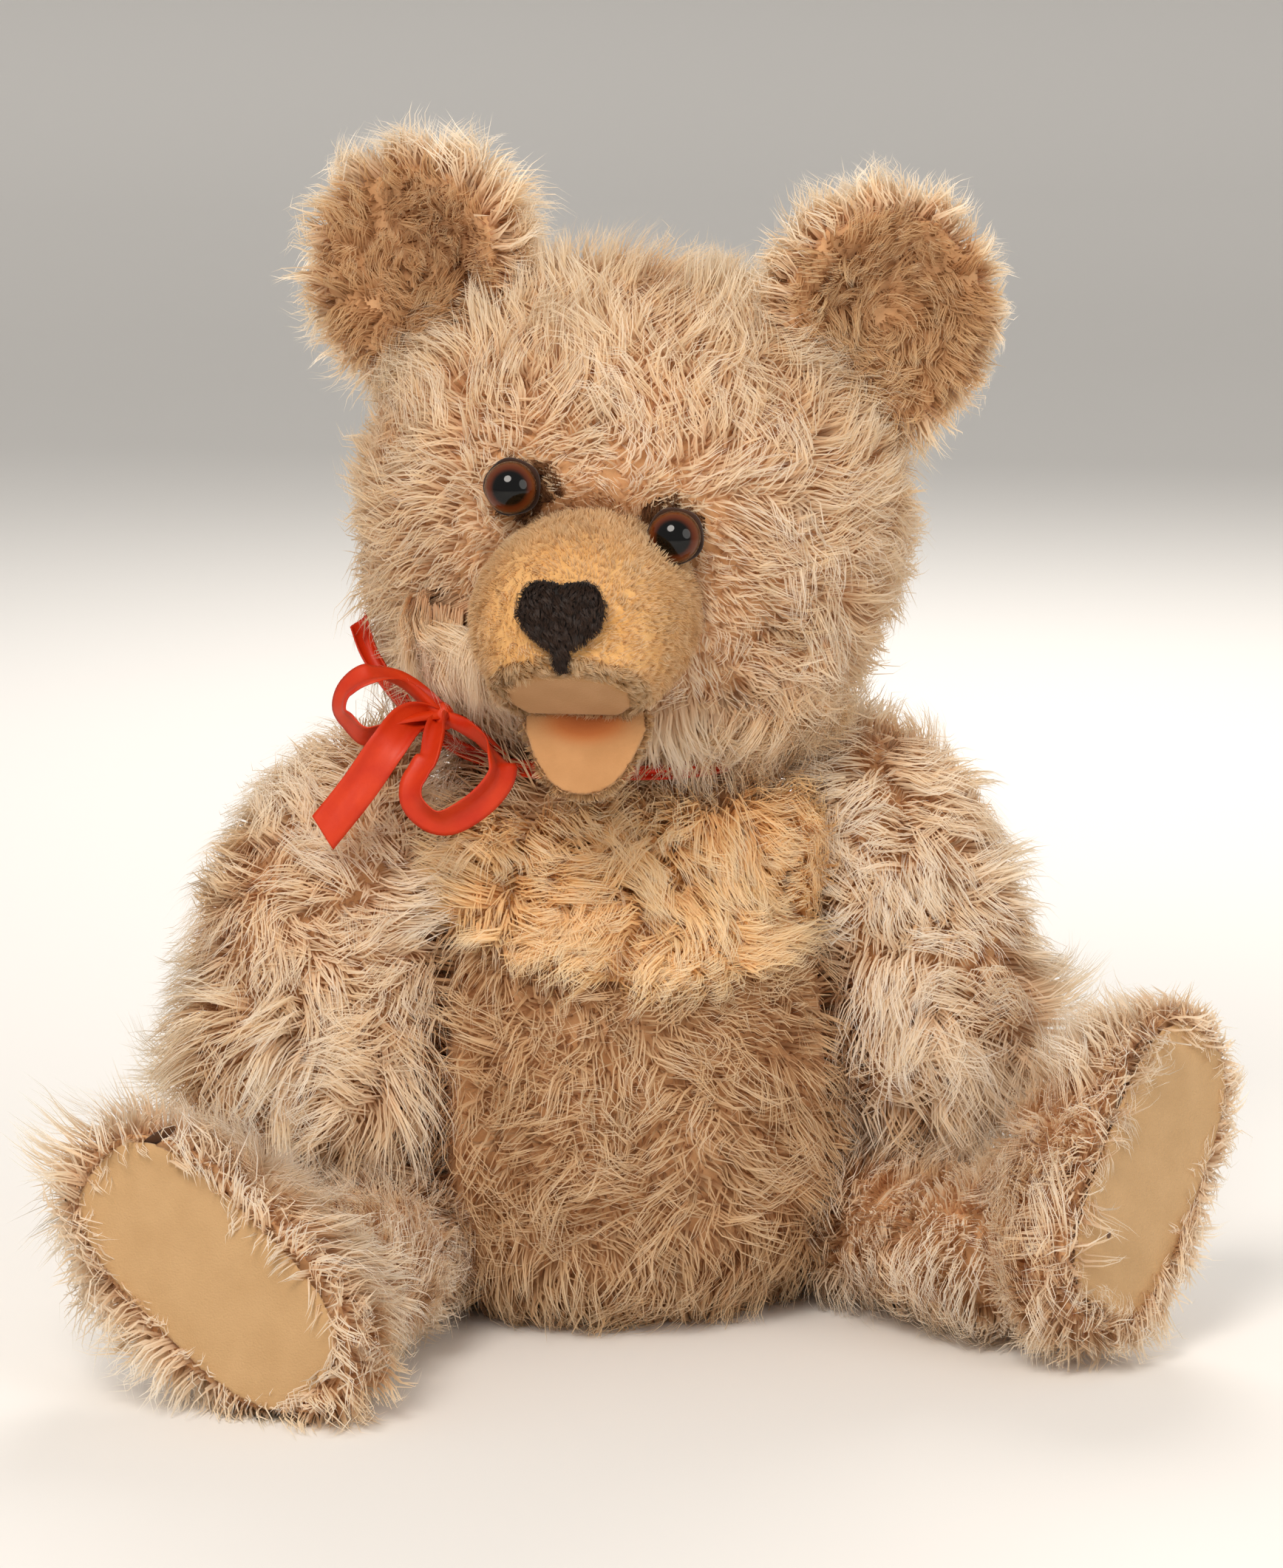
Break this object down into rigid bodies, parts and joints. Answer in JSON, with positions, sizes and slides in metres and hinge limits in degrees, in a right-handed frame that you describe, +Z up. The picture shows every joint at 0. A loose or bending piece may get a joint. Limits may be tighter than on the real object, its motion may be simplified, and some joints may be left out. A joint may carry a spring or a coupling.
{
  "type": "teddy bear",
  "caption": "Seated jointed teddy bear of long-pile mohair with an open felt-lined mouth, glass eyes, felt soles and a satin ribbon at the neck",
  "frame": {"origin": "middle of the seat, where the torso rests on the ground", "axes": "+Z up, the bear faces -Y, its own left is +X"},
  "size_m": [0.3715, 0.2234, 0.3656],
  "materials": {
    "mohair": "long curly mohair pile, tan at the root and cream at the tip, a little matted",
    "golden_mohair": "long golden mohair pile",
    "clipped_mohair": "short clipped mohair pile, matted round the mouth",
    "felt": "wool felt, worn smooth",
    "floss": "black-brown embroidery floss in upright stitches",
    "glass_eye": null,
    "wire": "drawn wire loop",
    "steel": "plain steel",
    "fibreboard": "pressed brown fibreboard",
    "satin": "orange-red satin ribbon, creased"
  },
  "bodies": {
    "torso": {"neck_body_disc": "fibreboard", "neck_body_washer": "steel", "neck_cotter_pin": "steel", "shoulder_right_body_disc": "fibreboard", "shoulder_right_body_washer": "steel", "shoulder_right_cotter_pin": "steel", "shoulder_left_body_disc": "fibreboard", "shoulder_left_body_washer": "steel", "shoulder_left_cotter_pin": "steel", "hip_right_body_disc": "fibreboard", "hip_right_body_washer": "steel", "hip_right_cotter_pin": "steel", "hip_left_body_disc": "fibreboard", "hip_left_body_washer": "steel", "hip_left_cotter_pin": "steel", "torso_coat": "mohair", "chest_bib": "golden_mohair", "neck_ribbon": "satin"},
    "head": {"neck_limb_disc": "fibreboard", "neck_limb_washer": "steel", "head_coat": "mohair", "ear_right": "mohair", "ear_left": "mohair", "muzzle": "clipped_mohair", "nose": "floss", "mouth_palate": "felt", "lower_jaw": "clipped_mohair", "jaw_lining": "felt", "eye_right": "glass_eye", "eye_left": "glass_eye", "eye_shank_right": "wire", "eye_shank_left": "wire"},
    "right_arm": {"shoulder_right_limb_disc": "fibreboard", "shoulder_right_limb_washer": "steel", "arm_right": "mohair", "paw_pad_right": "felt"},
    "left_arm": {"shoulder_left_limb_disc": "fibreboard", "shoulder_left_limb_washer": "steel", "arm_left": "mohair", "paw_pad_left": "felt"},
    "right_leg": {"hip_right_limb_disc": "fibreboard", "hip_right_limb_washer": "steel", "leg_right": "mohair", "foot_pad_right": "felt"},
    "left_leg": {"hip_left_limb_disc": "fibreboard", "hip_left_limb_washer": "steel", "leg_left": "mohair", "foot_pad_left": "felt"}
  },
  "joints": [
    {"name": "neck", "type": "hinge", "parent": "torso", "child": "head", "pos_m": [0, 0, 0.178], "axis": [0, 0, 1], "continuous": true, "deforming": ["neck_ribbon"]},
    {"name": "shoulder_right", "type": "hinge", "parent": "torso", "child": "right_arm", "pos_m": [-0.062, -0.005, 0.147], "axis": [-0.9848, 0, 0.1736], "range_deg": [-105, 60], "deforming": ["neck_ribbon"]},
    {"name": "shoulder_left", "type": "hinge", "parent": "torso", "child": "left_arm", "pos_m": [0.062, -0.005, 0.147], "axis": [-0.9848, 0, -0.1736], "range_deg": [-105, 60]},
    {"name": "hip_right", "type": "hinge", "parent": "torso", "child": "right_leg", "pos_m": [-0.052, -0.005, 0.027], "axis": [0.9659, -0.2588, 0], "range_deg": [0, 180]},
    {"name": "hip_left", "type": "hinge", "parent": "torso", "child": "left_leg", "pos_m": [0.052, -0.005, 0.027], "axis": [0.9659, 0.2588, 0], "range_deg": [0, 180]}
  ]
}
